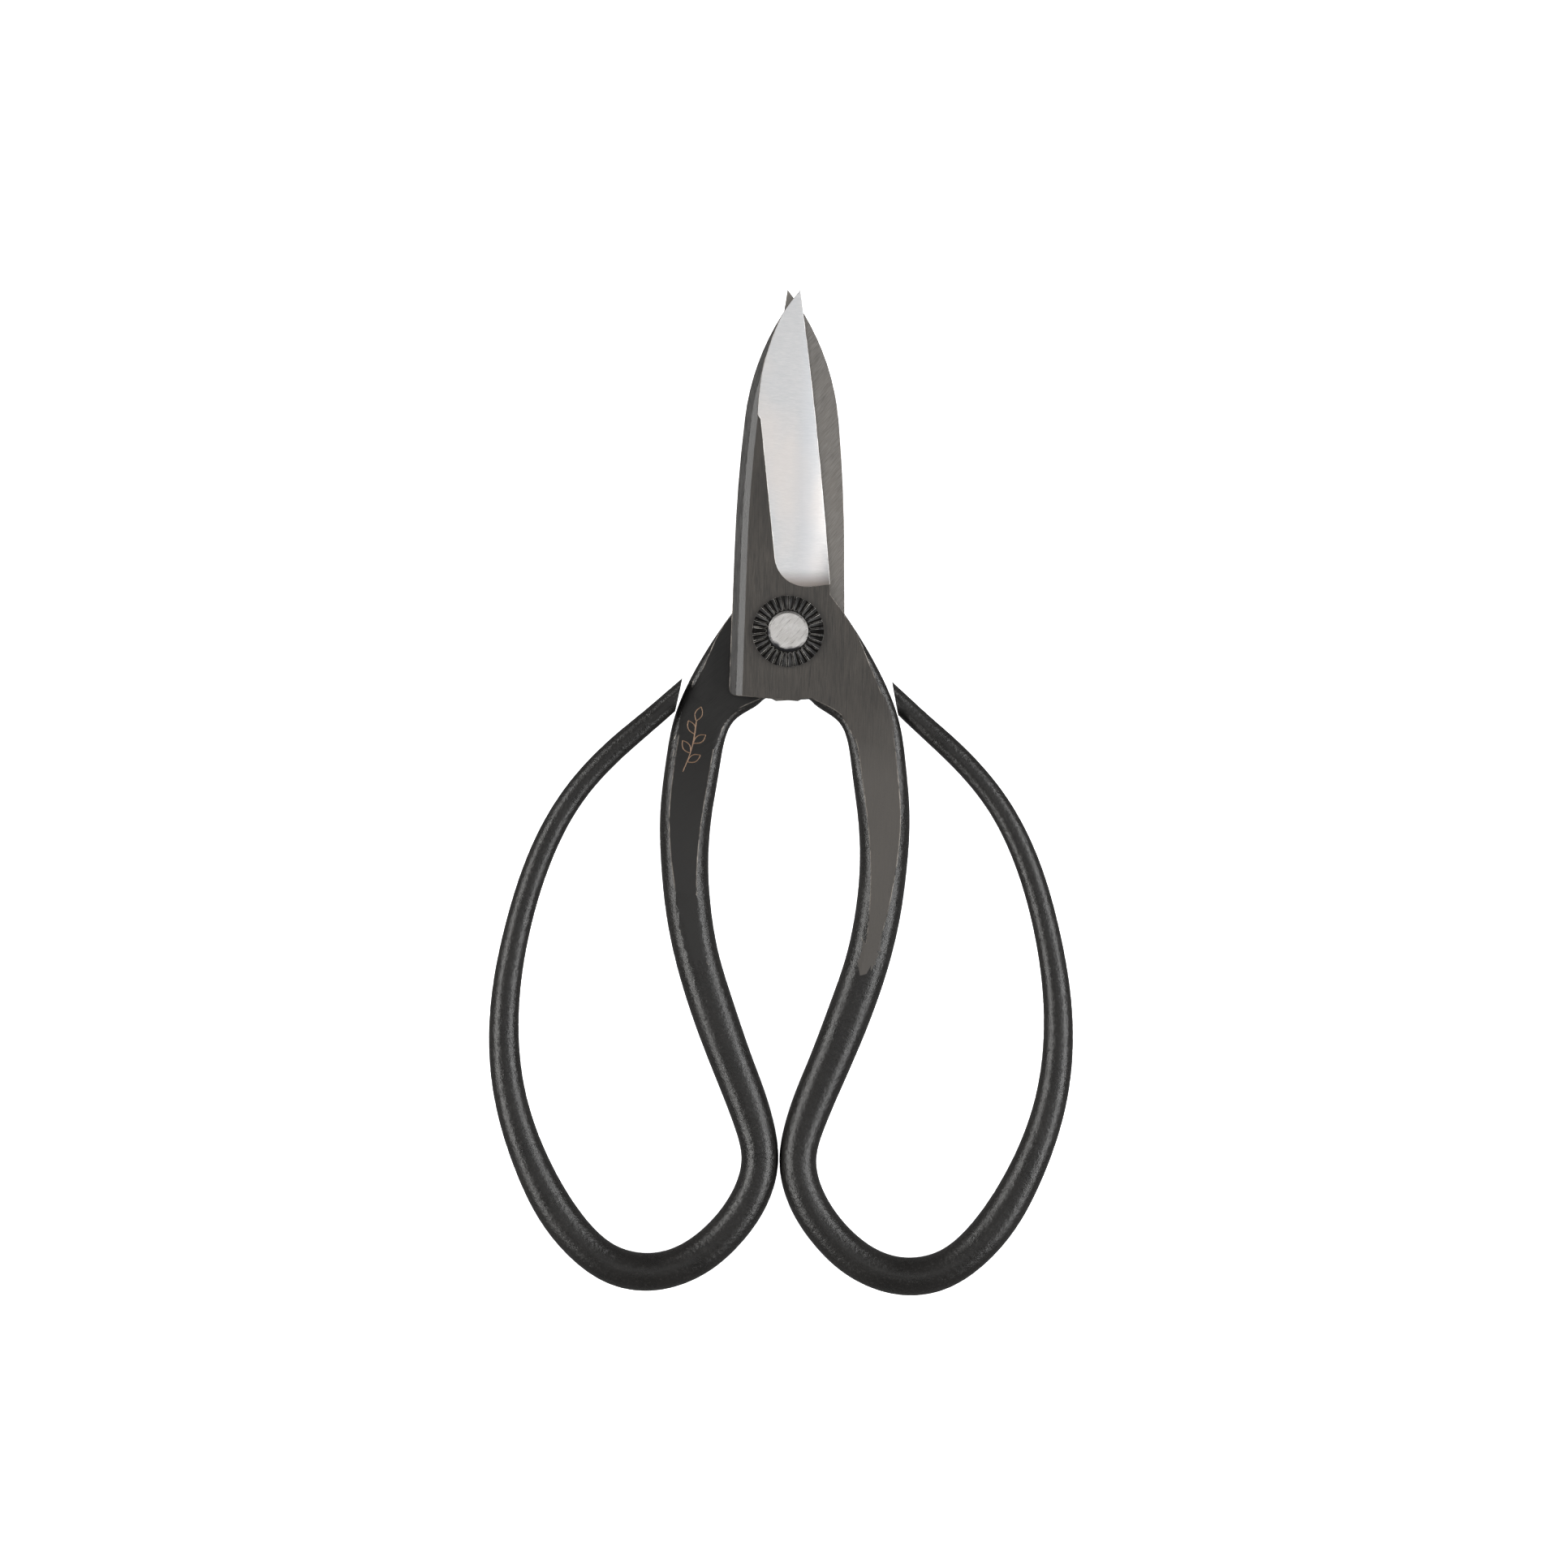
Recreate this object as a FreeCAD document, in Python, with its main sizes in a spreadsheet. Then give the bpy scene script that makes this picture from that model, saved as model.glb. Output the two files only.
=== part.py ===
import FreeCAD, Part
import math
import os
import Sketcher
from FreeCAD import Placement, Rotation, Vector

# Floral snips: two matching forgings, each a blade, a shank and a finger bow,
# held together by a peened rivet between two fluted washers.
# +Y runs towards the blade tips and +Z towards the front face.  The pivot axis
# is Z, and the origin is on it at the back end of the rivet.

SIZES = {
    # blade and flat plate, front half: the spine is at -X, the cutting edge at +X
    "plate_thick": 3.3,
    "joint_gap": 0.1,
    "blade_length": 61.3,
    "tip_cross": 1.16,
    "edge_thick": 0.28,
    "edge_bulge": 0.4,
    "heel_x": 7.4,
    "heel_y": 8.5,
    "heel_step": 1.8,
    "spine_root": 10.3,
    "spine_side": 9.85,
    "spine_side_y": 14.0,
    "spine_turn": 8.4,
    "spine_turn_y": 38.0,
    "plate_foot": 11.6,
    "plate_corner": 1.1,
    "crotch_x": 2.0,
    "crotch_y": 12.4,
    "shoulder_x": 10.2,
    "shoulder_y": 3.1,
    # facets along the spine, and the ground bevel
    "facet_width": 1.15,
    "facet_drop": 0.55,
    "spine_round": 1.15,
    "spine_drop": 1.9,
    "bevel_tilt": 16.8,
    "bevel_width": 9.85,
    "bevel_corner": 5.6,
    # shank, from the plate down: widths, widths of the flat faces, thickness
    "shoulder_mid": 13.6,
    "shoulder_low": 11.7,
    "shoulder_inset": 0.72,
    "shank_top": 10.2,
    "shank_mid": 9.3,
    "shank_low": 8.5,
    "shank_thick": 6.4,
    "shank_relief": 0.08,
    "flat_shoulder": 9.0,
    "flat_top": 7.2,
    "flat_mid": 5.9,
    "flat_low": 3.6,
    "flat_end": 0.5,
    "shoulder_bend": 17.3,
    "shoulder_turn": 46.0,
    "shank_bend": 82.3,
    "shank_turn": 36.8,
    # finger bow: bend radii along the centre line, turns in degrees, rod sizes
    "inner_bend": 16.0,
    "inner_turn": 45.2,
    "lower_bend": 27.2,
    "lower_turn": 33.2,
    "bottom_bend": 15.8,
    "bottom_turn": 81.2,
    "outer_bend": 57.9,
    "outer_turn": 45.9,
    "side_bend": 95.9,
    "side_turn": 16.0,
    "end_run": 14.2,
    "end_angle": 21.3,
    "end_open": 10.0,
    "rod_foot": 7.85,
    "rod_foot_thick": 7.0,
    "rod_bend": 6.65,
    "rod_bottom": 6.8,
    "rod_side": 5.15,
    "rod_crown": 4.4,
    "rod_end": 3.7,
    "bow_gap": 0.15,
    "end_gap": 0.2,
    # rivet and washers
    "pin_across": 5.0,
    "pin_clearance": 0.05,
    "washer_gap": 0.05,
    "washer_across": 12.8,
    "washer_thick": 1.3,
    "washer_rim": 0.55,
    "collar_across": 8.2,
    "flute_count": 30.0,
    "flute_depth": 0.35,
    "flute_share": 0.8,
    "head_across": 7.2,
    "head_proud": 0.8,
    "head_round": 0.4,
}

doc = FreeCAD.newDocument("floral_snips")
dims = doc.addObject("Spreadsheet::Sheet", "dims")
for row, (word, number) in enumerate(SIZES.items(), start=1):
    dims.set("A%d" % row, word)
    dims.set("B%d" % row, repr(number))
    dims.setAlias("B%d" % row, word)
doc.recompute()


class Size:
    """A length known both as a number and as an expression on the sheet."""

    def __init__(self, value, text):
        self.value = value
        self.text = text

    def __add__(self, other):
        other = a_size(other)
        return Size(self.value + other.value, "(%s + %s)" % (self.text, other.text))

    def __sub__(self, other):
        return self + a_size(other) * -1

    def __mul__(self, factor):
        return Size(self.value * factor, "%s * %.5f" % (self.text, factor))

    def __truediv__(self, factor):
        return self * (1 / factor)

    def __neg__(self):
        return self * -1

    def blend(self, other, share):
        return self * (1 - share) + other * share


def a_size(length):
    return length if isinstance(length, Size) else Size(length, "%.5f" % length)


def size(word):
    return float(dims.get(word))


def named(word):
    return Size(size(word), "dims." + word)


def bind(item, prop, length):
    item.setExpression(prop, a_size(length).text)


# ---------------------------------------------------------------- helpers


def origin_plane(body, role):
    for feature in body.Origin.OriginFeatures:
        if feature.Role == role:
            return feature
    raise RuntimeError("no plane " + role)


def new_body(label):
    body = doc.addObject("PartDesign::Body", label)
    body.Label = label
    return body


def new_sketch(body, name, role, base=(0, 0, 0), turn=None):
    # a sketch on one of the body's own planes, moved off it by three lengths
    sketch = body.newObject("Sketcher::SketchObject", name)
    sketch.AttachmentSupport = [(origin_plane(body, role), "")]
    sketch.MapMode = "FlatFace"
    base = [a_size(length) for length in base]
    sketch.AttachmentOffset = Placement(Vector(*[length.value for length in base]), turn or Rotation())
    for axis, length in zip("xyz", base):
        bind(sketch, ".AttachmentOffset.Base." + axis, length)
    return sketch


def arc_between(a, b, bulge):
    # an arc from a to b that stands out to the left of its chord, or to the
    # right when bulge is negative; it is stored anticlockwise
    dx, dy = b[0] - a[0], b[1] - a[1]
    length = math.hypot(dx, dy)
    peak = Vector((a[0] + b[0]) / 2 - dy / length * bulge, (a[1] + b[1]) / 2 + dx / length * bulge, 0)
    ends = [Vector(b[0], b[1], 0), Vector(a[0], a[1], 0)]
    if bulge < 0:
        ends.reverse()
    return Part.Arc(ends[0], peak, ends[1])


def outline(sketch, corners, bulges=None, closed=True):
    # lines and arcs from corner to corner, each corner held by its two sizes
    bulges = bulges or {}
    corners = [(a_size(x), a_size(y)) for x, y in corners]
    spots = [(x.value, y.value) for x, y in corners]
    count = len(corners) if closed else len(corners) - 1
    starts = []
    for index in range(count):
        a, b = spots[index], spots[(index + 1) % len(spots)]
        bulge = bulges.get(index, 0)
        if bulge:
            sketch.addGeometry(arc_between(a, b, bulge), False)
        else:
            sketch.addGeometry(Part.LineSegment(Vector(a[0], a[1], 0), Vector(b[0], b[1], 0)), False)
        starts.append(2 if bulge > 0 else 1)
    for index in range(count if closed else count - 1):
        after = (index + 1) % count
        sketch.addConstraint(Sketcher.Constraint("Coincident", index, 3 - starts[index], after, starts[after]))
    for index, corner in enumerate(corners):
        curve, end = (index, starts[index]) if index < count else (index - 1, 3 - starts[index - 1])
        for kind, length in zip(("DistanceX", "DistanceY"), corner):
            number = sketch.addConstraint(Sketcher.Constraint(kind, -1, 1, curve, end, length.value))
            bind(sketch, "Constraints[%d]" % number, length)
    for index in bulges:
        sketch.addConstraint(Sketcher.Constraint("Radius", index, sketch.Geometry[index].Radius))


def arc_along(a, b, heading):
    # the bulge of the arc that leaves a along heading and ends at b, and its
    # last heading
    half = math.atan2(b[1] - a[1], b[0] - a[0]) - heading
    return -math.tan(half / 2) * math.hypot(b[0] - a[0], b[1] - a[1]) / 2, heading + 2 * half


# ---------------------------------------------------------------- one forging


def spine_line():
    # the back of the blade: a straight, a long arc and a tighter arc to the tip
    corners = [(-named("spine_root"), -named("plate_foot")), (-named("spine_side"), named("spine_side_y")),
               (-named("spine_turn"), named("spine_turn_y")), (named("tip_cross"), named("blade_length"))]
    spots = [(x.value, y.value) for x, y in corners]
    first = math.atan2(spots[1][1] - spots[0][1], spots[1][0] - spots[0][0])
    low, heading = arc_along(spots[1], spots[2], first)
    high, last = arc_along(spots[2], spots[3], heading)
    return corners, {1: low, 2: high}, first, last


def plate_back():
    return named("joint_gap") / 2


def plate_front():
    return named("joint_gap") / 2 + named("plate_thick")


def rounding(radius):
    # how far a quarter arc of this radius stands out from its chord
    return radius * (1 - math.sqrt(0.5))


def add_plate(body):
    spine, bulges, first, last = spine_line()
    corner = named("plate_corner")
    root_x, root_y = spine[0]
    heel = (named("heel_x"), named("heel_y"))
    corners = [(root_x, root_y + corner)] + spine[1:]
    corners += [heel, (heel[0], heel[1] - named("heel_step")), (named("shoulder_x"), named("shoulder_y")),
                (named("crotch_x"), -named("crotch_y")), (root_x + corner, root_y)]
    bulges[3] = size("edge_bulge")
    bulges[8] = rounding(corner.value)
    sketch = new_sketch(body, "plate_outline", "XY_Plane", (0, 0, plate_back()))
    outline(sketch, corners, bulges)
    pad = body.newObject("PartDesign::Pad", "plate")
    pad.Profile = sketch
    bind(pad, "Length", named("plate_thick"))


def add_spine_facets(body):
    # two facets run the whole length of the spine, past both its ends
    spine, bulges, first, last = spine_line()
    below = (spine[0][0] - 3 * math.cos(first), spine[0][1] - 3 * math.sin(first))
    beyond = (spine[3][0] + 3 * math.cos(last), spine[3][1] + 3 * math.sin(last))
    path = new_sketch(body, "spine_path", "XY_Plane", (0, 0, plate_front()))
    outline(path, [below] + spine[1:] + [beyond], bulges, closed=False)
    profile = new_sketch(body, "facet_profile", "XZ_Plane", (below[0], plate_front(), -below[1]))
    side = named("spine_round")
    flat = named("facet_width") + side
    drop = -named("spine_drop")
    outline(profile, [(flat, 0), (side, -named("facet_drop")), (0, drop), (-2, drop), (-2, 2), (flat, 2)])
    cut = body.newObject("PartDesign::SubtractivePipe", "spine_facets")
    cut.Profile = profile
    cut.Spine = (path, ["Edge1", "Edge2", "Edge3", "Edge4"])


def add_bevel(body):
    # the ground bevel rises from the cutting edge to the front face and ends
    # above the heel in a rounded run-out
    lean = math.atan2(size("heel_x") - size("tip_cross"), size("blade_length") - size("heel_y"))
    turn = Rotation(Vector(0, 0, 1), math.degrees(lean)).multiply(Rotation(Vector(0, 1, 0), size("bevel_tilt")))
    start = (named("heel_x"), named("heel_y"), plate_back() + named("edge_thick"))
    sketch = new_sketch(body, "bevel_outline", "XY_Plane", start, turn)
    side, corner, length = -named("bevel_width"), named("bevel_corner"), named("blade_length")
    outline(sketch, [(4, 0), (side + corner, 0), (side, corner), (side, length * 0.5),
                     (side - 10, length * 0.8), (side - 10, length), (4, length)], {1: rounding(corner.value)})
    cut = body.newObject("PartDesign::Pocket", "bevel")
    cut.Profile = sketch
    cut.Type = 0
    cut.Length = 12
    cut.Reversed = True


class RodPath:
    """The centre line of a shank and its bow, walked bend by bend."""

    def __init__(self, spot, heading):
        self.spot = spot
        self.heading = heading

    def ahead(self):
        return Vector(math.cos(self.heading), math.sin(self.heading), 0)

    def bend(self, radius, turn):
        side = 1 if turn > 0 else -1
        centre = self.spot + Vector(-self.ahead().y, self.ahead().x, 0) * radius * side
        self.heading += math.radians(turn)
        self.spot = centre - Vector(-self.ahead().y, self.ahead().x, 0) * radius * side

    def run(self, length):
        self.spot = self.spot + self.ahead() * length


def add_section(body, name, spot, heading, width, flat, thick, lift):
    # a section across the rod: two flats, joined by an arc on each side
    sketch = new_sketch(body, name, "XZ_Plane", (spot.x, lift, -spot.y),
                        Rotation(Vector(0, 1, 0), math.degrees(heading) + 90))
    half, high = flat / 2, thick / 2
    side = (width.value - flat.value) / 2
    outline(sketch, [(-half, high), (half, high), (half, -high), (-half, -high)], {1: side, 3: side})
    return sketch


def rod_stations():
    shoulder = Vector(size("shoulder_x"), size("shoulder_y"), 0)
    crotch = Vector(size("crotch_x"), -size("crotch_y"), 0)
    across = shoulder - crotch
    path = RodPath((shoulder + crotch) / 2, math.atan2(across.y, across.x) - math.pi / 2)
    hub = path.spot - Vector(-path.ahead().y, path.ahead().x, 0) * size("shoulder_bend")
    stations = []

    def put(width, flat, thick, lift=0, inset=0):
        spot = path.spot + Vector(path.ahead().y, -path.ahead().x, 0) * inset
        stations.append((spot, path.heading, width, flat, thick, lift))

    def put_round(across):
        put(across, named("flat_end"), across)

    # shank: as thick as the plate and beside it, then centred on the joint plane
    plate, full, foot = named("plate_thick"), named("shank_thick"), named("rod_foot_thick")
    beside = (plate + named("joint_gap")) / 2
    chord = a_size(across.Length)
    put(chord, chord - 0.4, plate, beside)
    low, flat_low, flat_end = named("shank_low"), named("flat_low"), named("flat_end")
    inset, relief = size("shoulder_inset"), named("shank_relief")
    shank = [("shoulder", 0.35, inset * 0.9, named("shoulder_mid"), named("shoulder_mid") - 1.5, 0.0),
             ("shoulder", 0.33, inset, named("shoulder_low"), named("flat_shoulder"), 0.0),
             ("shoulder", 0.32, 0, named("shank_top"), named("flat_top"), 0.0),
             ("shank", 0.17, 0, named("shank_top").blend(named("shank_mid"), 0.5),
              named("flat_top").blend(named("flat_mid"), 0.6), 0.4),
             ("shank", 0.17, 0, named("shank_mid"), named("flat_mid"), 0.8),
             ("shank", 0.17, 0, low, named("flat_mid").blend(flat_low, 0.6), 1.0),
             ("shank", 0.17, 0, low.blend(named("rod_foot"), 0.6), flat_low * 0.85, 1.2),
             ("shank", 0.16, 0, named("rod_foot"), flat_low * 0.3 + flat_end, 1.7),
             ("shank", 0.16, 0, named("rod_foot"), flat_end, 2.0)]
    for word, share, inward, width, flat, along in shank:
        path.bend(size(word + "_bend"), -size(word + "_turn") * share)
        if along <= 1:
            put(width, flat, plate.blend(full, along), beside * (1 - along) + relief, inward)
        else:
            put(width, flat, full.blend(foot, along - 1))

    # the straight is as long as brings the two bows together at their inner bends
    swing = -math.pi / 2 - path.heading
    reach = size("rod_bend") / 2 + size("bow_gap") / 2
    inset = path.spot.x - size("inner_bend") * (1 - math.cos(swing)) - reach
    straight = inset / -path.ahead().x
    for along in (0.3, 0.7):
        path.run(straight / 2)
        put(named("rod_foot").blend(named("rod_bend"), along), flat_end, foot.blend(named("rod_bend"), along))

    bow = [("inner", 2, "rod_bend", "rod_bottom", (0, 0.2)),
           ("lower", 2, "rod_bend", "rod_bottom", (0.4, 0.7)),
           ("bottom", 3, "rod_bottom", "rod_side", (0, 0, 0)),
           ("outer", 3, "rod_bottom", "rod_side", (0.22, 0.66, 1.0)),
           ("side", 2, "rod_side", "rod_crown", (0.7, 1.0))]
    for word, parts, first, second, shares in bow:
        for share in shares:
            path.bend(size(word + "_bend"), size(word + "_turn") / parts)
            put_round(named(first).blend(named(second), share))

    # the crown turns until the free end points at the shoulder; the end is cut
    # off nearly along the shank and stops just short of it
    across = size("shoulder_bend") + size("shank_top") / 2 + size("end_gap")
    end, face = place_end(hub, across)
    left = Vector(-path.ahead().y, path.ahead().x, 0)
    sight = end - path.spot
    final = size("end_run")
    radius = (sight.Length ** 2 - final ** 2) / (2 * sight.dot(left))
    sight = end - (path.spot + left * radius)
    leave = math.atan2(sight.y, sight.x) - math.atan2(final, radius) + math.pi / 2
    turn = math.degrees((leave - path.heading) % (2 * math.pi))
    for share in (0.4, 0.6):
        path.bend(radius, turn / 2)
        put_round(named("rod_crown").blend(named("rod_end"), share))
    skew = math.cos(face - path.heading)
    last = size("rod_end") * (math.tan(math.acos(skew)) / 2 + 0.1)
    path.run((final - last) * 0.5)
    put_round(named("rod_crown").blend(named("rod_end"), 0.8))
    path.run((final - last) * 0.5)
    put_round(named("rod_end"))
    path.run(last)
    path.heading = face
    put(named("rod_end") / skew, flat_end / skew, named("rod_end"))
    return stations


def place_end(hub, reach):
    # the middle of the bow's end face and the way it looks, with the nearer of
    # its two corners at reach from the middle of the shoulder bend
    angle = math.radians(size("end_angle"))
    outward = Vector(math.cos(angle), math.sin(angle), 0)
    face = angle + math.pi - math.radians(size("end_open"))
    along = Vector(-math.sin(face), math.cos(face), 0) * size("rod_end")
    middle = hub + outward * reach
    nearer = min((middle + along - hub).Length, (middle - along - hub).Length)
    return middle + outward * (reach - nearer), face % (2 * math.pi)


def add_rod(body):
    sections = []
    for index, station in enumerate(rod_stations()):
        sections.append(add_section(body, "rod_section_%02d" % index, *station))
    doc.recompute()
    for name, group in (("shank_and_bow", sections[:-1]), ("bow_end", sections[-2:])):
        loft = body.newObject("PartDesign::AdditiveLoft", name)
        loft.Profile = group[0]
        loft.Sections = group[1:]
        loft.Ruled = name == "bow_end"
        doc.recompute()


def circle(sketch, radius):
    sketch.addGeometry(Part.Circle(Vector(0, 0, 0), Vector(0, 0, 1), radius.value), False)
    sketch.addConstraint(Sketcher.Constraint("Coincident", 0, 3, -1, 1))
    number = sketch.addConstraint(Sketcher.Constraint("Radius", 0, radius.value))
    bind(sketch, "Constraints[%d]" % number, radius)


def add_bore(body):
    sketch = new_sketch(body, "bore_circle", "XY_Plane")
    circle(sketch, named("pin_across") / 2 + named("pin_clearance"))
    bore = body.newObject("PartDesign::Pocket", "bore")
    bore.Profile = sketch
    bore.Type = 1
    bore.Midplane = True


def add_half(label):
    body = new_body(label)
    volumes = []
    for step in (add_plate, add_spine_facets, add_bevel, add_rod, add_bore):
        step(body)
        doc.recompute()
        volumes.append(body.Shape.Volume)
        print(label, step.__name__, round(volumes[-1], 1))
    if not volumes[0] > volumes[1] > volumes[2] < volumes[3] > volumes[4]:
        raise RuntimeError(label + ": a feature added or cut nothing")
    return body


# ---------------------------------------------------------------- pivot


def turned(body, name, corners):
    # a solid turned about Z from a closed outline of straight lines
    sketch = new_sketch(body, name, "XZ_Plane")
    outline(sketch, corners)
    spin = body.newObject("PartDesign::Revolution", name + "_turned")
    spin.Profile = sketch
    spin.ReferenceAxis = (sketch, ["V_Axis"])
    spin.Angle = 360


def add_rivet():
    body = new_body("pivot_rivet")
    pin, head, rounded = named("pin_across") / 2, named("head_across") / 2, named("head_round")
    face = plate_front() + named("washer_thick")
    front, back, proud = face + named("washer_gap"), -face, named("head_proud")
    turned(body, "rivet_profile", [
        (0, back - proud), (head - rounded, back - proud), (head, back - proud + rounded), (head, back),
        (pin, back), (pin, front), (head, front), (head, front + proud - rounded),
        (head - rounded, front + proud), (0, front + proud)])
    return body


def add_washer(label):
    body = new_body(label)
    bore, rim, collar = named("pin_across") / 2, named("washer_across") / 2, named("collar_across") / 2
    thick, low = named("washer_thick"), named("washer_rim")
    turned(body, label + "_profile", [(bore, 0), (rim, 0), (rim, low), (collar, thick), (bore, thick)])
    doc.recompute()
    whole = body.Shape.Volume

    # one flute, a vee that widens and deepens down the slope from collar to rim
    vees = []
    slope = (thick.value - low.value) / (rim.value - collar.value)
    pitch = math.pi / size("flute_count") * size("flute_share")
    for place, radius, share in (("inner", collar - 0.3, 0.35), ("outer", rim + 0.2, 1.0)):
        surface = thick - (radius.value - collar.value) * slope
        vee = new_sketch(body, "%s_%s_vee" % (label, place), "YZ_Plane", (0, 0, radius))
        half = radius * pitch
        deep = named("flute_depth") * share
        outline(vee, [(0, surface - deep), (half * 2, surface + deep), (-half * 2, surface + deep)])
        vees.append(vee)
    flute = body.newObject("PartDesign::SubtractiveLoft", label + "_flute")
    flute.Profile = vees[0]
    flute.Sections = vees[1:]
    doc.recompute()
    ring = body.newObject("PartDesign::PolarPattern", label + "_flutes")
    ring.Originals = [flute]
    ring.Axis = (origin_plane(body, "Z_Axis"), [""])
    ring.Angle = 360
    ring.Occurrences = int(size("flute_count"))
    body.Tip = ring
    doc.recompute()
    print(label, round(whole, 2), "to", round(body.Shape.Volume, 2))
    if body.Shape.Volume > whole - 1:
        raise RuntimeError(label + ": no flutes")
    return body


# ---------------------------------------------------------------- assembly


def stand_at(body, height, turned_over=False):
    flip = Rotation(Vector(0, 1, 0), 180) if turned_over else Rotation()
    body.Placement = Placement(Vector(0, 0, height.value), flip)
    bind(body, ".Placement.Base.z", height)


def main():
    joint = plate_front() + named("washer_thick") + named("head_proud")
    pieces = [add_half("front_half"), add_half("back_half"), add_rivet(),
              add_washer("front_washer"), add_washer("back_washer")]
    stand_at(pieces[0], joint)
    stand_at(pieces[1], joint, turned_over=True)
    stand_at(pieces[2], joint)
    stand_at(pieces[3], joint + plate_front() + named("washer_gap"))
    stand_at(pieces[4], joint - plate_front(), turned_over=True)
    doc.recompute()
    for item in doc.Objects:
        if "Invalid" in item.State or "Error" in item.State:
            raise RuntimeError("%s failed: %s" % (item.Label, item.State))
    os.makedirs("parts", exist_ok=True)
    for piece in pieces:
        shape = piece.Shape
        if shape.isNull() or not shape.isValid() or len(shape.Solids) != 1:
            raise RuntimeError(piece.Label + " is not one sound solid")
        shape.exportStep("parts/%s.step" % piece.Label)
        print(piece.Label, round(shape.Volume, 1), shape.BoundBox)


main()
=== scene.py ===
"""Floral snips: two blackened forgings with ground blades, a peened rivet and
two fluted washers, lying on a pale table between two long softboxes."""
import math

import bmesh
import bpy
from mathutils import Euler, Matrix, Vector
from mathutils.bvhtree import BVHTree


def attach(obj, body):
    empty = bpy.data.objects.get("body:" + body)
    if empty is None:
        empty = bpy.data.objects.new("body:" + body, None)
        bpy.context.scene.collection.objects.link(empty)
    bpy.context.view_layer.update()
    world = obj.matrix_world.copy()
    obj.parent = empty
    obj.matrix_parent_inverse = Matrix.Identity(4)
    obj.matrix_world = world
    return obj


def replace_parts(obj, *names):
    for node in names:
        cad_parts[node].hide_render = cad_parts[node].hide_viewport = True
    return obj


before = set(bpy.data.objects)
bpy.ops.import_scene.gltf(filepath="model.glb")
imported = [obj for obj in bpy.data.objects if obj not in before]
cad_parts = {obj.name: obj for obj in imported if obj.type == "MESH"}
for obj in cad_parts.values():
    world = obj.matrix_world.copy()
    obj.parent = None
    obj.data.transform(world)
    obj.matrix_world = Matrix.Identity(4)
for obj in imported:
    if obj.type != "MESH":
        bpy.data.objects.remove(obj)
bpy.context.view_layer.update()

MM = 0.001
JOINT_HEIGHT = 5.45        # height of the plane the two halves meet on, mm
EDGE_WEAR = 0.085          # how far the polished line on a worn corner reaches, mm
CREASE, FINISH_CREASE = 24, 4   # least angles of a sharp corner, degrees
JOINT_PLANE = Matrix.Translation((0, 0, JOINT_HEIGHT * MM))
BACK_TURN = JOINT_PLANE @ Matrix.Rotation(math.pi, 4, "Y") @ JOINT_PLANE.inverted()


# ---------------------------------------------------------------- materials


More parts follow.
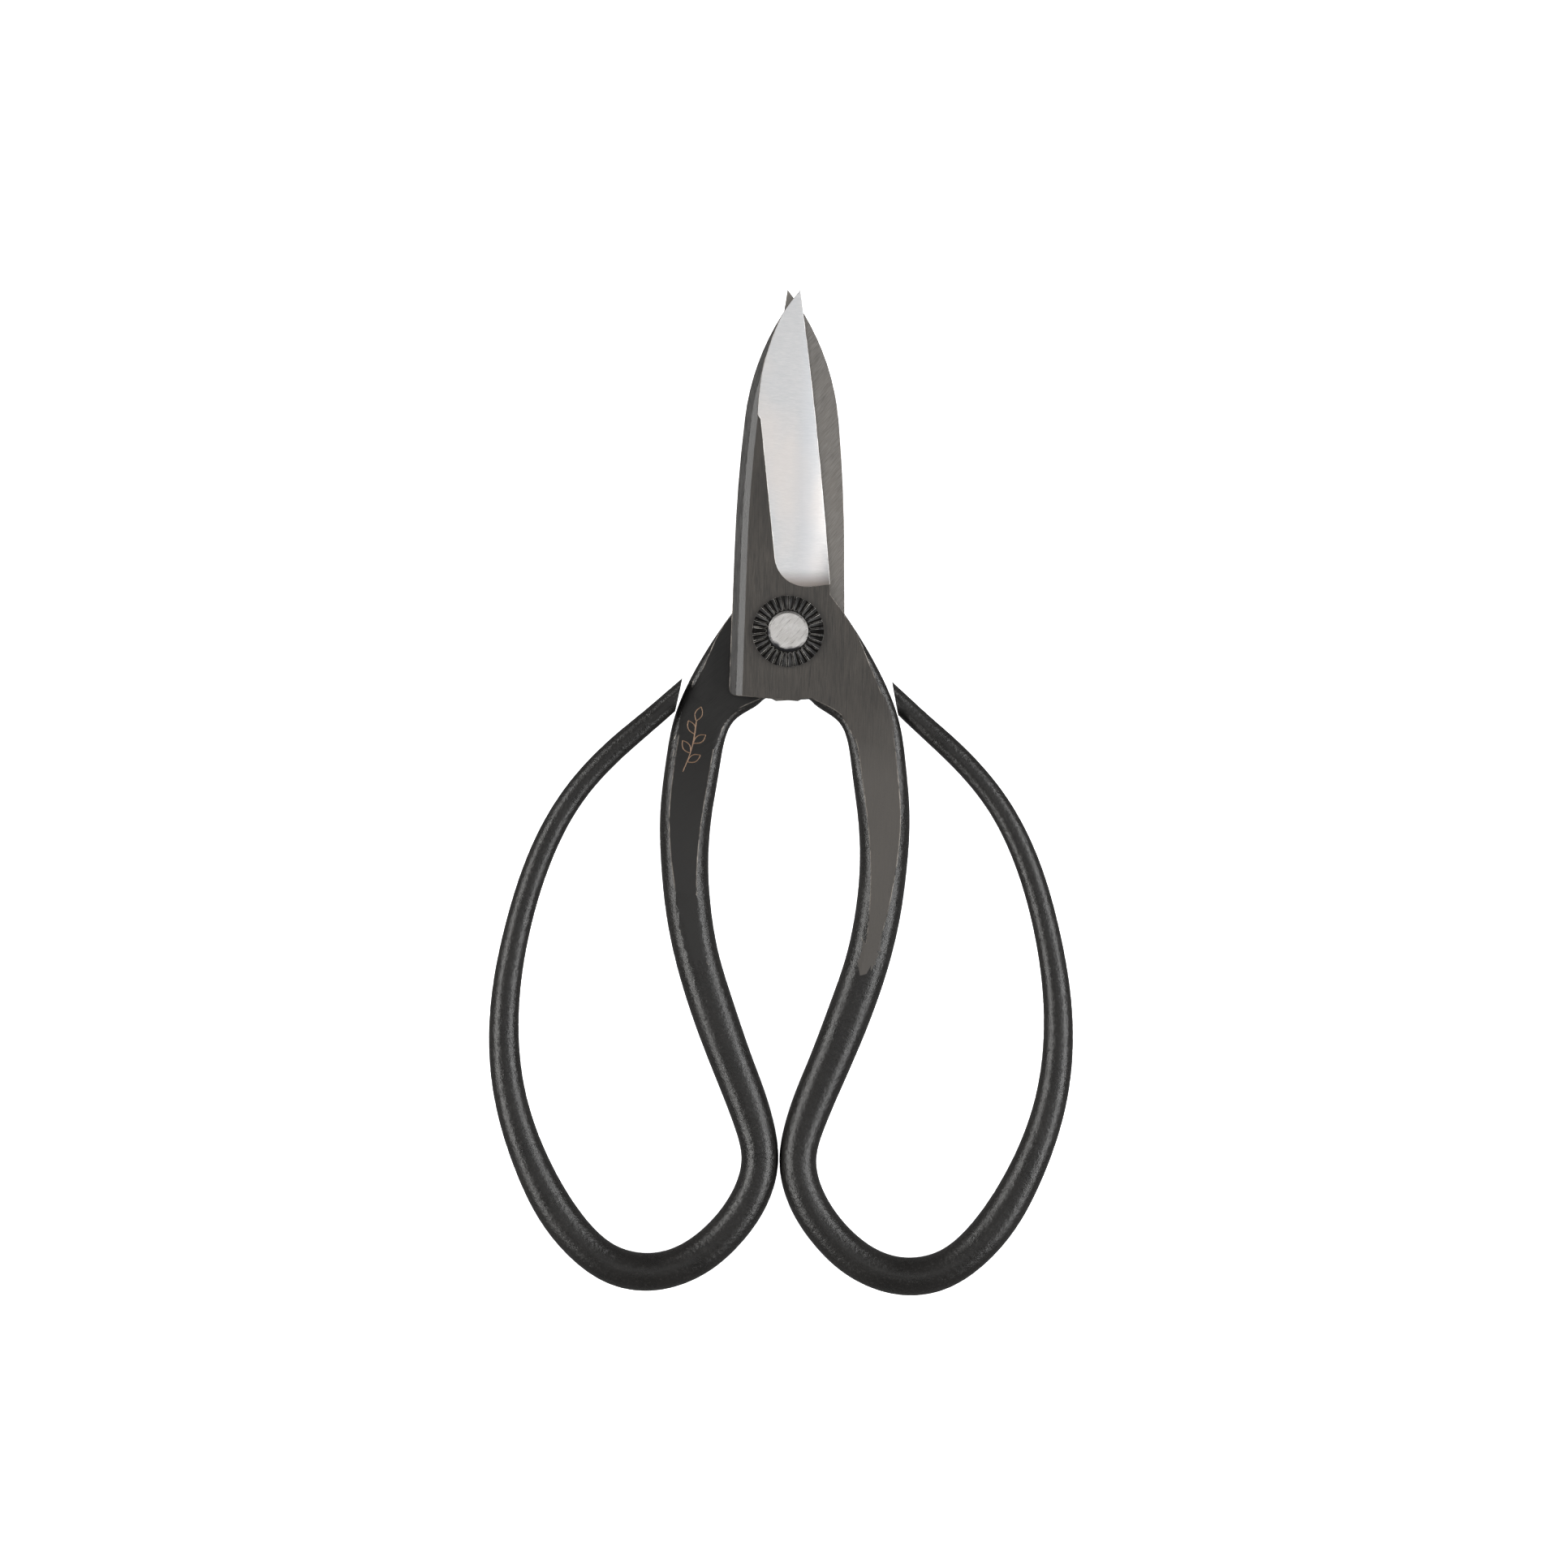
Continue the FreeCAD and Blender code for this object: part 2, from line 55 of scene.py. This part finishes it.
class Finish:
    """A node material, built one node at a time."""

    def __init__(self, name, **sockets):
        self.material = bpy.data.materials.new(name)
        self.material.use_nodes = True
        self.tree = self.material.node_tree
        self.tree.nodes.clear()
        self.shader = self.node("ShaderNodeBsdfPrincipled")
        out = self.node("ShaderNodeOutputMaterial")
        self.link(self.shader.outputs[0], out.inputs["Surface"])
        for word, value in sockets.items():
            self.shader.inputs[word.replace("_", " ")].default_value = value
        self.place = self.node("ShaderNodeTexCoord").outputs["Object"]
        self.bumps = None

    def node(self, kind, **settings):
        made = self.tree.nodes.new(kind)
        for word, value in settings.items():
            setattr(made, word, value)
        return made

    def link(self, source, target):
        self.tree.links.new(source, target)

    def mapped(self, scale, turn=0):
        # coordinates in millimetres, turned about Z, then stretched
        turned = self.node("ShaderNodeMapping")
        turned.inputs["Rotation"].default_value = (0, 0, math.radians(turn))
        turned.inputs["Scale"].default_value = (1 / MM, 1 / MM, 1 / MM)
        self.link(self.place, turned.inputs["Vector"])
        stretched = self.node("ShaderNodeMapping")
        stretched.inputs["Scale"].default_value = scale
        self.link(turned.outputs[0], stretched.inputs["Vector"])
        return stretched.outputs[0]

    def noise(self, scale, detail=3, rough=0.55, turn=0):
        made = self.node("ShaderNodeTexNoise")
        made.inputs["Scale"].default_value = 1
        made.inputs["Detail"].default_value = detail
        made.inputs["Roughness"].default_value = rough
        self.link(self.mapped(scale, turn), made.inputs["Vector"])
        return made.outputs["Fac"]

    def cells(self, scale):
        made = self.node("ShaderNodeTexVoronoi")
        made.inputs["Scale"].default_value = 1
        self.link(self.mapped(scale), made.inputs["Vector"])
        return made.outputs["Distance"]

    def spread(self, value, low, high, to_low=0.0, to_high=1.0):
        made = self.node("ShaderNodeMapRange")
        for word, number in (("From Min", low), ("From Max", high), ("To Min", to_low), ("To Max", to_high)):
            made.inputs[word].default_value = number
        self.link(value, made.inputs["Value"])
        return made.outputs[0]

    def maths(self, operation, first, second):
        made = self.node("ShaderNodeMath", operation=operation)
        for socket, value in zip(made.inputs, (first, second)):
            if isinstance(value, (int, float)):
                socket.default_value = value
            else:
                self.link(value, socket)
        return made.outputs[0]

    def mix(self, share, first, second):
        made = self.node("ShaderNodeMix", data_type="RGBA")
        sockets = [made.inputs[0], made.inputs[6], made.inputs[7]]
        for socket, value in zip(sockets, (share, first, second)):
            if isinstance(value, (int, float)):
                socket.default_value = value
            elif isinstance(value, tuple):
                socket.default_value = (*value, 1)
            else:
                self.link(value, socket)
        return made.outputs[2]

    def along(self, axis):
        # one coordinate of the place, in millimetres
        parts = self.node("ShaderNodeSeparateXYZ")
        self.link(self.place, parts.inputs[0])
        return self.maths("MULTIPLY", parts.outputs[axis], 1 / MM)

    def bump(self, height, depth):
        made = self.node("ShaderNodeBump")
        made.inputs["Strength"].default_value = 1.0
        made.inputs["Distance"].default_value = depth * MM
        self.link(height, made.inputs["Height"])
        if self.bumps:
            self.link(self.bumps, made.inputs["Normal"])
        self.bumps = made.outputs[0]
        self.link(self.bumps, self.shader.inputs["Normal"])

    def color(self, value):
        self.link(value, self.shader.inputs["Base Color"])

    def roughness(self, value):
        self.link(value, self.shader.inputs["Roughness"])


def grey(level, warm=0.0):
    # a grey with its red raised and its blue lowered by the share called warm
    return (level * (1 + warm), level, level * (1 - warm))


def forged_skin():
    """Black oxide over the hammered rod: fine pebbles, a few pits and scuffs."""
    finish = Finish("forged_skin", Metallic=0.0, IOR=1.5)
    fine = finish.noise((5.5, 5.5, 5.5), 3)
    coarse = finish.noise((1.3, 1.3, 1.3), 2)
    pits = finish.spread(finish.cells((0.55, 0.55, 0.55)), 0.0, 0.13, 1, 0)
    patch = finish.noise((0.12, 0.12, 0.12), 2)
    worn = finish.spread(finish.noise((2.2, 2.2, 2.2), 4, 0.7), 0.55, 0.72)
    base = finish.mix(patch, grey(0.006, 0.05), grey(0.014, 0.08))
    finish.color(finish.mix(finish.maths("MULTIPLY", worn, 0.5), base, grey(0.05, 0.06)))
    finish.roughness(finish.spread(finish.maths("ADD", fine, patch), 0.6, 1.4, 0.23, 0.37))
    finish.bump(fine, 0.045)
    finish.bump(coarse, 0.10)
    finish.bump(pits, -0.05)
    return finish.material


def blackened_flat(name, level, warm, turn, shine, gloss):
    """Black oxide over a brushed flat; the brushing runs along Y before its turn."""
    finish = Finish(name, Metallic=0.0, IOR=gloss)
    lines = finish.noise((9, 0.35, 3), 3, 0.6, turn)
    broad = finish.noise((1.6, 0.12, 1), 2, 0.5, turn)
    patch = finish.noise((0.10, 0.07, 0.1), 2)
    speck = finish.spread(finish.noise((3.1, 3.1, 3.1), 3, 0.7), 0.66, 0.76)
    # paler towards the shank, from Y -12 mm to -26 mm
    paler_down_shank = finish.spread(finish.along(1), -12, -26, 0, 0.75)
    dark, pale = grey(level * 0.4, warm), grey(level * 1.7, warm * 1.3)
    base = finish.mix(finish.spread(lines, 0.3, 0.7), dark, pale)
    base = finish.mix(finish.spread(broad, 0.35, 0.65, 0, 0.35), base, grey(level * 1.7, warm * 1.5))
    base = finish.mix(finish.spread(patch, 0.35, 0.7, 0, 0.5), base, grey(level * 0.6, warm))
    base = finish.mix(paler_down_shank, base, grey(level * 2.0, warm))
    finish.color(finish.mix(finish.maths("MULTIPLY", speck, 0.25), base, grey(level * 3, warm)))
    finish.roughness(finish.spread(lines, 0.3, 0.7, shine - 0.05, shine + 0.08))
    finish.bump(lines, 0.012)
    return finish.material


REFLECTION_STRIPE_MIDDLE = 3.4        # X of the painted reflection, a soft bluish stripe down the bevel, mm
RESIDUE_AND_SHADE_RUN_OUT = 11.2, 8.6        # Y where brown residue and painted shade start at the bevel's foot, and where they are full, mm


def ground_bevel():
    """The bevel ground bright across the blade, with a painted reflection as a soft bluish stripe, and a
    run-out at its foot darkened by brown residue and painted shade.
    """
    finish = Finish("ground_bevel", Metallic=1.0)
    fine = finish.noise((0.35, 11, 3), 3, 0.6, 3)
    long = finish.noise((0.10, 2.2, 1), 3, 0.6, 3)
    cloud = finish.noise((0.09, 0.05, 0.1), 2)
    steel = finish.mix(finish.spread(fine, 0.3, 0.7), (0.42, 0.42, 0.425), (0.52, 0.515, 0.51))
    steel = finish.mix(finish.spread(long, 0.40, 0.62, 0, 0.22), steel, (0.38, 0.38, 0.39))
    steel = finish.mix(finish.spread(cloud, 0.5, 0.7, 0, 0.35), steel, (0.60, 0.53, 0.48))
    # painted reflection: a soft bluish stripe down the bevel, its edges wobbled by the cloud noise
    across = finish.maths("ADD", finish.along(0), finish.spread(cloud, 0.3, 0.7, -0.8, 0.8))
    off_reflection_stripe = finish.maths("ABSOLUTE", finish.maths("SUBTRACT", across, REFLECTION_STRIPE_MIDDLE), 0)
    steel = finish.mix(finish.spread(off_reflection_stripe, 0.6, 2.6, 0.4, 0), steel, (0.39, 0.405, 0.43))
    # brown residue, and painted shade for the grinding wheel's concave run-out, towards the bevel's foot
    low = finish.spread(finish.along(1), *RESIDUE_AND_SHADE_RUN_OUT)
    finish.color(finish.mix(finish.maths("MULTIPLY", low, 0.8), steel, (0.16, 0.13, 0.11)))
    finish.roughness(finish.spread(fine, 0.3, 0.7, 0.28, 0.38))
    finish.bump(fine, 0.003)
    finish.bump(long, 0.001)
    return finish.material


def ground_back():
    """The inner face: grey steel with slanting grind lines."""
    finish = Finish("ground_back", Metallic=1.0)
    lines = finish.noise((11, 0.45, 2), 3, 0.6, 38)
    broad = finish.noise((1.4, 0.10, 1), 2, 0.6, 38)
    patch = finish.noise((0.10, 0.08, 0.1), 2)
    base = finish.mix(finish.spread(lines, 0.3, 0.7), (0.18, 0.17, 0.16), (0.40, 0.38, 0.36))
    base = finish.mix(finish.spread(broad, 0.35, 0.65, 0, 0.4), base, (0.29, 0.275, 0.255))
    finish.color(finish.mix(finish.spread(patch, 0.4, 0.7, 0, 0.4), base, (0.34, 0.31, 0.28)))
    finish.roughness(finish.spread(lines, 0.3, 0.7, 0.34, 0.50))
    finish.bump(lines, 0.012)
    return finish.material


def spine_facet(name, level):
    """A filed facet along the spine, brushed lengthwise."""
    finish = Finish(name, Metallic=0.0, IOR=1.6)
    lines = finish.noise((7, 0.25, 5), 3, 0.6)
    grain = finish.noise((4, 4, 4), 3)
    base = finish.mix(finish.spread(lines, 0.3, 0.7), grey(level * 0.4, 0.02), grey(level * 1.6, 0.03))
    finish.color(finish.mix(finish.spread(grain, 0.4, 0.7, 0, 0.4), base, grey(level * 0.6, 0.02)))
    finish.roughness(finish.spread(lines, 0.3, 0.7, 0.34, 0.48))
    finish.bump(lines, 0.010)
    finish.bump(grain, 0.020)
    return finish.material


def worn_edge():
    """Corners where the oxide has rubbed through to steel here and there."""
    finish = Finish("worn_edge", Metallic=0.5)
    wear_and_glint = finish.spread(finish.noise((0.5, 0.5, 0.5), 3, 0.6), 0.36, 0.70)
    finish.color(finish.mix(wear_and_glint, grey(0.04, 0.05), (0.30, 0.27, 0.24)))
    finish.roughness(finish.spread(wear_and_glint, 0, 1, 0.45, 0.33))
    return finish.material


def keen_line():
    """The bright line where the ground bevel starts."""
    finish = Finish("keen_line", Metallic=1.0, Roughness=0.45)
    tone = finish.noise((0.6, 0.6, 0.6), 3, 0.6)
    finish.color(finish.mix(finish.spread(tone, 0.35, 0.6), (0.42, 0.41, 0.40), (0.90, 0.89, 0.87)))
    return finish.material


LIT_MIDDLE = 0.35, 0.75, 10.9   # middle of the lit part of the rivet's head, around which shade is painted, mm
SHADE_REACH = 3.5, 4.0            # how far from it the painted shade starts, and where it is full, mm


def rivet_steel():
    """Bright steel, dressed flat on a slant, with a few deeper scratches and a crescent of painted shade on
    the rim.
    """
    finish = Finish("rivet_bright", Metallic=1.0)
    fine = finish.noise((0.5, 9, 2), 3, 0.65, -42)
    deep = finish.spread(finish.noise((0.35, 3.4, 1), 2, 0.6, -48), 0.60, 0.70)
    cloud = finish.noise((0.45, 0.45, 0.45), 2)
    steel = finish.mix(finish.spread(fine, 0.3, 0.7), (0.62, 0.60, 0.58), (0.96, 0.94, 0.92))
    steel = finish.mix(finish.spread(cloud, 0.4, 0.7, 0, 0.4), steel, (0.56, 0.53, 0.50))
    steel = finish.mix(finish.maths("MULTIPLY", deep, 0.35), steel, (0.30, 0.28, 0.26))
    # painted shade: a dark ragged crescent on the rim, what lies too far from a point off the middle of the
    # head
    shade = finish.node("ShaderNodeVectorMath", operation="DISTANCE")
    finish.link(finish.place, shade.inputs[0])
    shade.inputs[1].default_value = [part * MM for part in LIT_MIDDLE]
    reach = finish.maths("MULTIPLY", shade.outputs["Value"], 1 / MM)
    ragged_shade = finish.maths("ADD", reach, finish.spread(cloud, 0.3, 0.7, -0.4, 0.4))
    finish.color(finish.mix(finish.spread(ragged_shade, *SHADE_REACH), steel, (0.10, 0.10, 0.11)))
    finish.roughness(finish.spread(fine, 0.3, 0.7, 0.24, 0.42))
    finish.bump(fine, 0.010)
    finish.bump(deep, -0.012)
    return finish.material


def washer_oxide():
    """Glossy black oxide on the pressed flutes."""
    finish = Finish("washer_oxide", Metallic=0.0, IOR=1.22)
    patch = finish.noise((0.8, 0.8, 0.8), 3)
    finish.color(finish.mix(patch, grey(0.002, 0.02), grey(0.010, 0.08)))
    finish.roughness(finish.spread(patch, 0.3, 0.7, 0.16, 0.30))
    finish.bump(finish.noise((3, 3, 3), 3), 0.02)
    return finish.material


def ridge_highlight():
    """The flutes' ridges, made paler in patches as a painted highlight."""
    finish = Finish("ridge_highlight", Metallic=0.3, IOR=1.6)
    # painted highlight: patches of paler colour along the ridges
    wear_and_glint = finish.spread(finish.noise((0.7, 0.7, 0.7), 3, 0.6), 0.40, 0.66)
    finish.color(finish.mix(wear_and_glint, grey(0.010, 0.05), (0.42, 0.40, 0.37)))
    finish.roughness(finish.spread(wear_and_glint, 0, 1, 0.34, 0.24))
    return finish.material


def copper_line():
    """The copper-coloured line of the sprig."""
    finish = Finish("copper_line", Metallic=0.3, Roughness=0.5)
    tone = finish.noise((3, 3, 3), 3)
    finish.color(finish.mix(tone, (0.13, 0.075, 0.045), (0.30, 0.19, 0.12)))
    return finish.material


# ---------------------------------------------------------------- pieces

SKIN, PLATE, SHANK, BEVEL, BACK, OUTER, INNER, WORN, KEEN = range(9)
SEAM_LINE = 0.07           # half width of the dark line between the two spine facets, mm
FLUTE_ROUND = 0.11         # rounding of a flute's ridge, mm
DOUBLES = 2e-6             # vertices closer than this are one, m
FLAT_WITHIN, RIDGE = math.radians(0.2), math.radians(20)   # faces this level are one; least angle of a ridge

# where the finishes of a forging end, in mm, with the front half's blade up
FLATS_FOOT, FLATS_RIGHT = -60, 24
PLATE_FOOT, PLATE_LEFT, PLATE_RIGHT, PLATE_TAPER = -13.5, -11, 11.0, 0.4
BEVEL_FOOT = 8
FACETS_FOOT, FACETS_RIGHT = -12.5, 2
OUTER_FLAT_HEIGHT, INNER_FLAT_HEIGHT, INNER_FACE_HEIGHT = 2.5, 0.6, 0.2
# where worn corners end, and where the bow's free end starts, in mm
WORN_FOOT, WORN_RIGHT = -62, 23
BOW_END_LEFT, BOW_END_FOOT = 17.2, -17
WORN_ANGLE, WORN_RIM_ANGLE, UPRIGHT = 30, 14, 0.9   # degrees, degrees, Z of the edge's direction


def is_crease(edge):
    # a corner of the surface, or a gentle one where two finishes meet
    if len(edge.link_faces) != 2:
        return True
    angle = math.degrees(edge.calc_face_angle(0))
    kinds = {face.material_index for face in edge.link_faces}
    return angle > CREASE or (angle > FINISH_CREASE and len(kinds) == 2)


def finished(shape, name, body, slot_name, *materials):
    """Turns a bmesh into a piece that rides on a body."""
    mesh = bpy.data.meshes.new(name)
    for face in shape.faces:
        face.smooth = True
    for edge in shape.edges:
        edge.smooth = not is_crease(edge)
    shape.to_mesh(mesh)
    shape.free()
    piece = bpy.data.objects.new(name, mesh)
    bpy.context.scene.collection.objects.link(piece)
    for material in materials:
        mesh.materials.append(material)
    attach(piece, body)
    return piece


def merged_copy(node):
    """A CAD node's loose triangles merged, with its level faces made one."""
    shape = bmesh.new()
    shape.from_mesh(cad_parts[node].data)
    bmesh.ops.remove_doubles(shape, verts=shape.verts, dist=DOUBLES)
    bmesh.ops.dissolve_limit(shape, angle_limit=FLAT_WITHIN, verts=shape.verts, edges=shape.edges)
    return shape


def finish_of(face, turn):
    """Which finish a face of a forging has, told from its place and the way it looks."""
    spot = (turn @ face.calc_center_median()) / MM
    look = turn.to_3x3() @ face.normal
    height = spot.z - JOINT_HEIGHT
    on_flats = spot.y > FLATS_FOOT and spot.x < FLATS_RIGHT
    on_facets = spot.y > FACETS_FOOT and spot.x < FACETS_RIGHT
    on_plate = spot.y > PLATE_FOOT and PLATE_LEFT < spot.x < PLATE_RIGHT - max(0, -spot.y) * PLATE_TAPER
    if look.z > 0.96 and height > OUTER_FLAT_HEIGHT and on_flats:
        return PLATE
    if look.z < -0.999 and height < INNER_FACE_HEIGHT and on_plate:
        return BACK
    if spot.y > BEVEL_FOOT and look.x > 0.2 and look.z > 0.9:
        return BEVEL
    if on_facets and look.z > 0.6 and -0.5 * look.z < look.x < -0.3:
        return INNER
    if on_facets and look.z > 0.5 and look.x < -0.5:
        return OUTER
    if look.z < -0.93 and height < INNER_FLAT_HEIGHT and on_flats:
        return SHANK
    return SKIN


def is_worn_corner(edge, turn):
    # the corners of blade, plate and shank; not the upright ones, nor those of the bow's free end
    first, second = (vertex.co for vertex in edge.verts)
    spot = (turn @ ((first + second) / 2)) / MM
    angle = math.degrees(edge.calc_face_angle(0))
    kinds = {face.material_index for face in edge.link_faces}
    near_end = spot.x > BOW_END_LEFT and spot.y > BOW_END_FOOT
    upright = abs((first - second).normalized().z) > UPRIGHT
    if near_end or upright or spot.x > WORN_RIGHT or spot.y < WORN_FOOT:
        return False
    return angle > WORN_ANGLE or (angle > WORN_RIM_ANGLE and kinds in ({SHANK, SKIN}, {PLATE, SKIN}))


def forging(node, body, name, turn):
    """A forging with a finish on each face, a dark line between its facets and its corners rubbed."""
    shape = merged_copy(node)
    for face in shape.faces:
        face.material_index = finish_of(face, turn)
    seam = [edge for edge in shape.edges
            if {face.material_index for face in edge.link_faces} == {OUTER, INNER}]
    bmesh.ops.bevel(shape, geom=seam, offset=SEAM_LINE * MM, segments=1, affect="EDGES", profile=0.5,
                    material=SKIN, clamp_overlap=True)
    # unclamped, because short edges beside a corner would leave no room for the line
    corners = [edge for edge in shape.edges if is_worn_corner(edge, turn)]
    bmesh.ops.bevel(shape, geom=corners, offset=EDGE_WEAR * MM, segments=2, affect="EDGES", profile=0.5,
                    material=WORN, clamp_overlap=False)
    beside_bevel = [face for face in shape.faces if face.material_index == WORN and any(
        other.material_index == BEVEL for edge in face.edges for other in edge.link_faces)]
    for face in beside_bevel:
        face.material_index = KEEN
    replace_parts(finished(shape, name, body, "blackened_steel", *finishes), node)


def fluted_washer(node, name):
    """The washer with the ridges of its flutes rounded, black with two lines of painted highlight to a
    flute.
    """
    shape = merged_copy(node)
    ridges = [edge for edge in shape.edges if len(edge.link_faces) == 2 and edge.is_convex
              and edge.calc_face_angle(0) > RIDGE]
    bmesh.ops.bevel(shape, geom=ridges, offset=FLUTE_ROUND * MM, segments=2, affect="EDGES", profile=0.5,
                    material=1, clamp_overlap=True)
    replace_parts(finished(shape, name, "back_body", "washer_steel", *washer_finishes), node)


finishes = [forged_skin(), blackened_flat("outer_flat", 0.036, 0.10, 0, 0.36, 1.55),
            blackened_flat("inner_flat", 0.010, 0.04, 48, 0.34, 1.42), ground_bevel(), ground_back(),
            # the two spine facets share one filed finish; their two levels are painted light and shade
            spine_facet("outer_facet", 0.045), spine_facet("inner_facet", 0.030), worn_edge(),
            keen_line()]
forging("front_half", "front_body", "front_forging", Matrix.Identity(4))
forging("back_half", "back_body", "back_forging", BACK_TURN)

washer_finishes = [washer_oxide(), ridge_highlight()]
fluted_washer("front_washer", "front_fluted_washer")
fluted_washer("back_washer", "back_fluted_washer")

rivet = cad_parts["pivot_rivet"]
rivet.data.materials.clear()
rivet.data.materials.append(rivet_steel())


# ---------------------------------------------------------------- leaf sprig

SPRIG_FOOT, SPRIG_TIP = Vector((-18.4, -25.4, 0)), Vector((-15.6, -14.0, 0))
SPRIG_LINE, SPRIG_PROUD = 0.18, 0.03   # radius of the line, and how far it stands out, mm
LEAF_LONG, LEAF_WIDE = 2.7, 0.7
STEM_SHARE, STEM_BOW = 0.8, 0.5        # the stem's share of the sprig's length, and its bow, mm
LEAVES = (0.16, 48), (0.30, -46), (0.46, 42), (0.60, -40), (0.80, 4)   # place on the sprig, lean


def sprig_strokes():
    """A stem with five leaves on it, as lists of points on the shank's face."""
    up = (SPRIG_TIP - SPRIG_FOOT).normalized()
    side = Vector((up.y, -up.x, 0))
    long = (SPRIG_TIP - SPRIG_FOOT).length
    stem = [SPRIG_FOOT + up * long * STEM_SHARE * t + side * STEM_BOW * math.sin(math.pi * t)
            for t in (0, 0.25, 0.5, 0.75, 1)]
    strokes = [stem]
    for share, lean in LEAVES:
        root = SPRIG_FOOT + up * long * share + side * STEM_BOW * math.sin(math.pi * share / STEM_SHARE)
        way = Matrix.Rotation(math.radians(-lean), 3, "Z") @ up
        wide = Vector((way.y, -way.x, 0)) * LEAF_WIDE
        for half in (1, -1):
            strokes.append([root + way * LEAF_LONG * t + wide * half * math.sin(math.pi * t)
                            for t in (0, 0.2, 0.45, 0.7, 0.88, 1)])
    return strokes


def leaf_sprig():
    """Fine raised lines on the back half's shank, on the face that looks to the front."""
    under = bmesh.new()
    under.from_mesh(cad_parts["back_half"].data)
    surface = BVHTree.FromBMesh(under)
    under.free()
    curve = bpy.data.curves.new("sprig_lines", "CURVE")
    curve.dimensions = "3D"
    curve.bevel_depth = SPRIG_LINE * MM
    curve.bevel_resolution = 2
    curve.use_fill_caps = True
    for stroke in sprig_strokes():
        line = curve.splines.new("NURBS")
        line.points.add(len(stroke) - 1)
        for point, spot in zip(line.points, stroke):
            top, *_ = surface.ray_cast(Vector((spot.x * MM, spot.y * MM, 0.02)), Vector((0, 0, -1)))
            point.co = (top.x, top.y, top.z + (SPRIG_PROUD - SPRIG_LINE) * MM, 1)
        line.order_u = 3
        line.use_endpoint_u = True
    made = bpy.data.objects.new("sprig_lines", curve)
    shape = bmesh.new()
    shape.from_mesh(bpy.data.meshes.new_from_object(made))
    bpy.data.objects.remove(made)
    for face in shape.faces:
        face.material_index = 0
    finished(shape, "leaf_sprig", "back_body", "blackened_steel", copper_line())


leaf_sprig()

# ---------------------------------------------------------------- table, lights, camera


TABLE_REACH, TABLE_GAP = 3, 0.4   # half the table's side, m; how far it lies below the rivet, mm


def pale_table():
    """A pale table that glows, so that the ground comes out even; the steel doesn't mirror it."""
    table = bpy.data.meshes.new("table")
    shape = bmesh.new()
    bmesh.ops.create_grid(shape, x_segments=1, y_segments=1, size=TABLE_REACH)
    shape.to_mesh(table)
    shape.free()
    piece = bpy.data.objects.new("table", table)
    bpy.context.scene.collection.objects.link(piece)
    paper = Finish("table_paper", Roughness=0.9)
    paper.shader.inputs["Base Color"].default_value = (0.9, 0.9, 0.9, 1)
    paper.shader.inputs["Emission Color"].default_value = (1, 1, 1, 1)
    paper.shader.inputs["Emission Strength"].default_value = 1.1
    table.materials.append(paper.material)
    piece.location.z = -TABLE_GAP * MM
    piece.visible_glossy = False


def softbox(name, spot, target, length, height, power, tint=(1, 1, 1)):
    """A rectangular lamp at spot that looks at target; sizes in metres, power in watts."""
    light = bpy.data.lights.new(name, "AREA")
    light.shape = "RECTANGLE"
    light.size = length
    light.size_y = height
    light.energy = power
    light.color = tint
    lamp = bpy.data.objects.new(name, light)
    bpy.context.scene.collection.objects.link(lamp)
    lamp.location = spot
    away = Vector(spot) - Vector(target)
    lamp.rotation_euler = away.to_track_quat("Z", "Y").to_euler()


pale_table()
softbox("softbox_right", (0.92, -0.03, 0.55), (0, -0.03, 0), 1.5, 0.28, 12.5)
softbox("softbox_left", (-0.92, -0.03, 0.55), (0, -0.03, 0), 1.5, 0.28, 13, (1, 0.99, 0.97))
softbox("softbox_high_right", (0.72, 0.02, 1.08), (0, 0.02, 0), 0.75, 0.30, 1.35, (0.97, 0.985, 1))
softbox("softbox_top", (0.0, 0.0, 1.6), (0, 0, 0), 0.9, 0.9, 1.7)

world = bpy.data.worlds.new("studio")
world.use_nodes = True
world.node_tree.nodes["Background"].inputs["Color"].default_value = (1, 1, 1, 1)
world.node_tree.nodes["Background"].inputs["Strength"].default_value = 0.16
bpy.context.scene.world = world
bpy.context.scene.view_settings.view_transform = "Standard"

FIELD = 0.2808             # width of the view at the height of the joint plane, m
LENS, SENSOR = 135, 36      # mm
CENTRE, LEAN = (-0.00025, -0.02726), 1.0   # middle of the view, m, and its turn, degrees
camera = bpy.data.cameras.new("camera")
camera.lens = LENS
camera.sensor_width = SENSOR
camera.clip_end = 10
eye = bpy.data.objects.new("camera", camera)
bpy.context.scene.collection.objects.link(eye)
eye.location = (*CENTRE, JOINT_HEIGHT * MM + FIELD * LENS / SENSOR)
eye.rotation_euler = Euler((0, 0, math.radians(LEAN)))
bpy.context.scene.camera = eye

# ---------------------------------------------------------------- end

bpy.context.view_layer.update()
